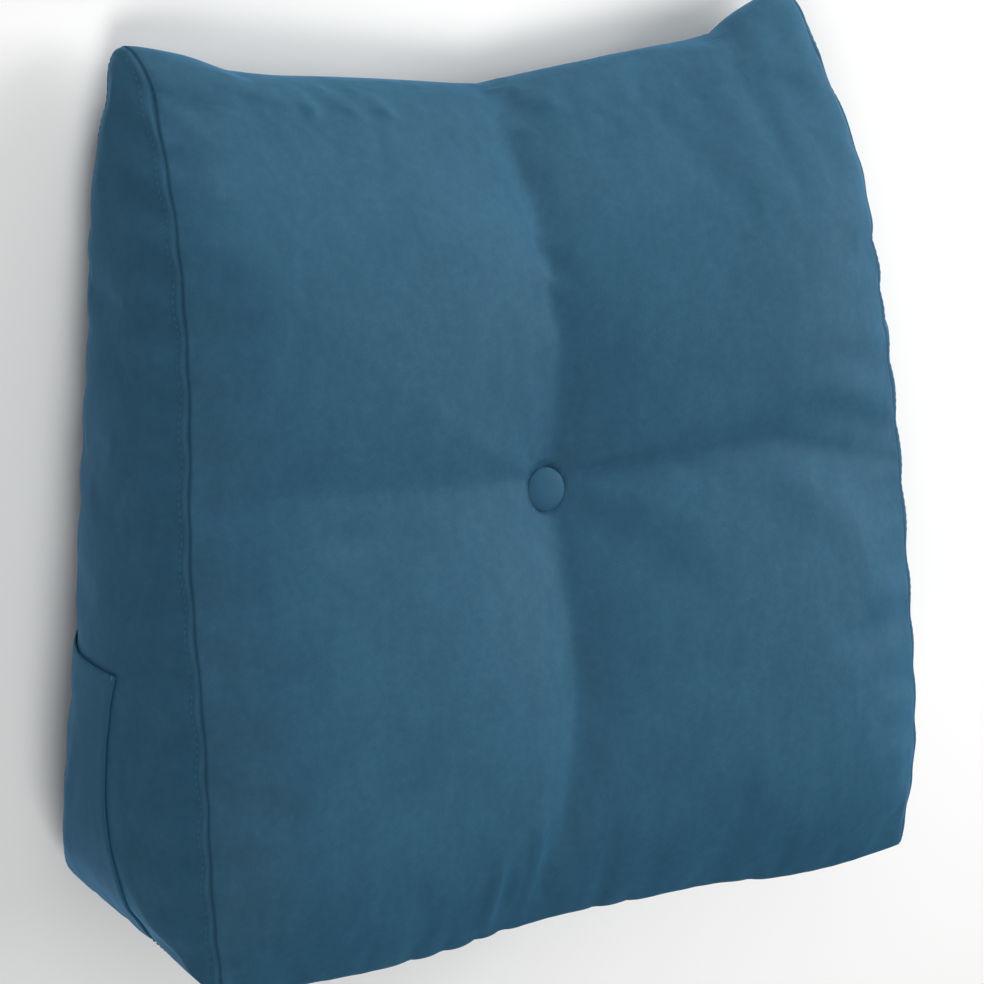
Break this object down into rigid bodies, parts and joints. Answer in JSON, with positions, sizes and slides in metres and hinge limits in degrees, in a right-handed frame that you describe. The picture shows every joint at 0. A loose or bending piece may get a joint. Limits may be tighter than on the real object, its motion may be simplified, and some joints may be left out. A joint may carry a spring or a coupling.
{
  "type": "wedge back cushion",
  "caption": "Wedge-shaped back cushion in blue velvet: filled body with a sloping tufted front, felled side seams and a flat side pocket.",
  "frame": {"origin": "middle of the footprint, on the floor under the back panel", "axes": "+X across the width, to the right in the picture; +Y from the base panel to the rounded top edge; +Z from the flat back panel to the sloping front"},
  "size_m": [0.5164, 0.4858, 0.2025],
  "materials": {
    "velvet": "slate blue velvet with a soft nap"
  },
  "bodies": {
    "root": {"cushion_body": "velvet", "side_pocket": "velvet", "tuft_button": "velvet"}
  },
  "joints": []
}
